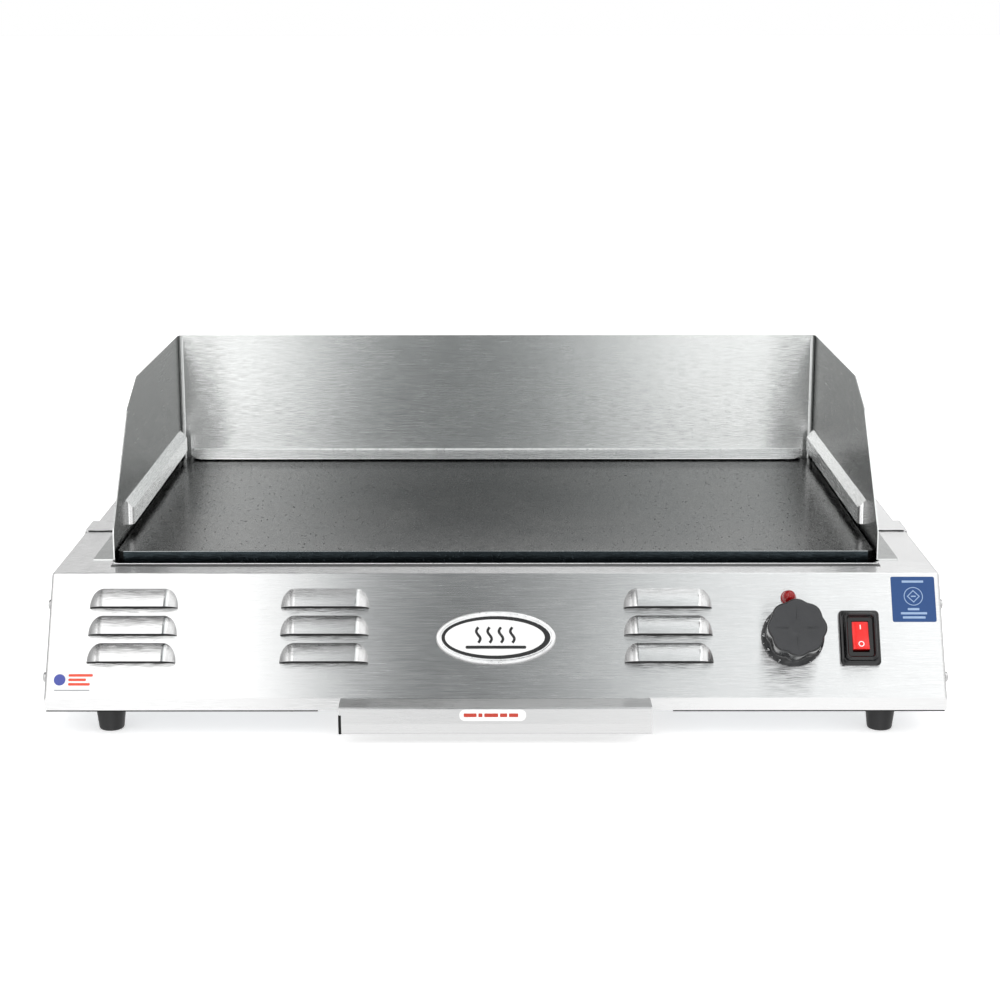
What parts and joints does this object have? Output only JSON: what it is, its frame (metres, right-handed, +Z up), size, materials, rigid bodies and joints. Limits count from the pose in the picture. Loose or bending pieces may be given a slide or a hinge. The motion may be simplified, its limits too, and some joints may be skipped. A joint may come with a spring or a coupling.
{
  "type": "countertop flat top griddle",
  "caption": "Countertop electric griddle: steel plate in a sheet-metal body with sloped control panel, folded splash guard and pull-out grease tray.",
  "frame": {"origin": "middle of the footprint, on the surface that the feet stand on", "axes": "+X to the right of a person facing the controls, +Y to the back, +Z up"},
  "size_m": [0.7154, 0.5262, 0.2495],
  "materials": {
    "stainless": "horizontal brushed stainless sheet",
    "tray_steel": "brushed stainless sheet, folded",
    "sheet_inside": "dull zinc-coated sheet",
    "plate": "ground steel plate, faintly mottled",
    "mat": "pale fibre mat",
    "element": "dark oxidised tube and bars",
    "fastener": "plated steel",
    "rubber": "black moulded rubber",
    "knob": "black moulded plastic, satin face and glossy skirt",
    "bezel": "black moulded plastic",
    "ceramic": "pale moulded insulator",
    "red_lens": "translucent red lens",
    "rocker": "lit red plastic",
    "badge": null,
    "label_blue": null,
    "label_white": "white film label with plain stripes",
    "wire": "insulated lead"
  },
  "bodies": {
    "cabinet": {"base_pan": "sheet_inside", "bottom_screws": "fastener", "capillary_tube": "element", "cord_gland": "bezel", "earth_stud": "fastener", "element_clamps": "element", "foot_front_left": "rubber", "foot_front_right": "rubber", "foot_nuts": "fastener", "foot_rear_left": "rubber", "foot_rear_right": "rubber", "foot_screws": "fastener", "front_panel": "stainless", "gland_nut": "bezel", "grease_trough": "tray_steel", "griddle_plate": "plate", "heat_shield": "sheet_inside", "heating_element_left": "element", "heating_element_right": "element", "high_limit_switch": "element", "insulation_mat": "mat", "label_square": "label_blue", "label_striped": "label_white", "lead_switch": "wire", "name_plate": "badge", "pilot_lamp": "bezel", "pilot_lens": "red_lens", "pilot_nut": "bezel", "plate_rail_front": "sheet_inside", "plate_rail_rear": "sheet_inside", "plate_studs": "fastener", "rear_housing": "stainless", "side_bracket_left": "sheet_inside", "side_bracket_right": "sheet_inside", "side_screws": "fastener", "stud_nuts": "fastener", "switch_bezel": "bezel", "switch_body": "bezel", "switch_terminals": "fastener", "terminal_block": "ceramic", "thermostat_body": "ceramic", "thermostat_screws": "fastener", "tray_channel": "tray_steel", "tray_runner_left": "tray_steel", "tray_runner_right": "tray_steel"},
    "splash_guard_unit": {"splash_guard": "stainless", "drip_strip_left": "stainless", "drip_strip_right": "stainless", "drip_strip_back": "stainless"},
    "grease_drawer": {"grease_tray": "tray_steel", "tray_handle": "tray_steel", "tray_rivets": "fastener", "label_tray": "label_white"},
    "thermostat_dial": {"thermostat_knob": "knob", "thermostat_shaft": "fastener"},
    "power_rocker": {"switch_rocker": "rocker"}
  },
  "joints": [
    {"name": "guard_lift", "type": "slide", "parent": "cabinet", "child": "splash_guard_unit", "axis": [0, 0, 1], "range_m": [0, 0.08]},
    {"name": "drawer_slide", "type": "slide", "parent": "cabinet", "child": "grease_drawer", "axis": [0, -1, 0], "range_m": [0, 0.23]},
    {"name": "knob_turn", "type": "hinge", "parent": "cabinet", "child": "thermostat_dial", "pos_m": [0.236, -0.21557, 0.0747], "axis": [0, -0.8592, 0.5116], "range_deg": [-300, 0]},
    {"name": "rocker_tilt", "type": "hinge", "parent": "cabinet", "child": "power_rocker", "pos_m": [0.2887, -0.21816, 0.07427], "axis": [1, 0, 0], "range_deg": [0, 14]}
  ]
}
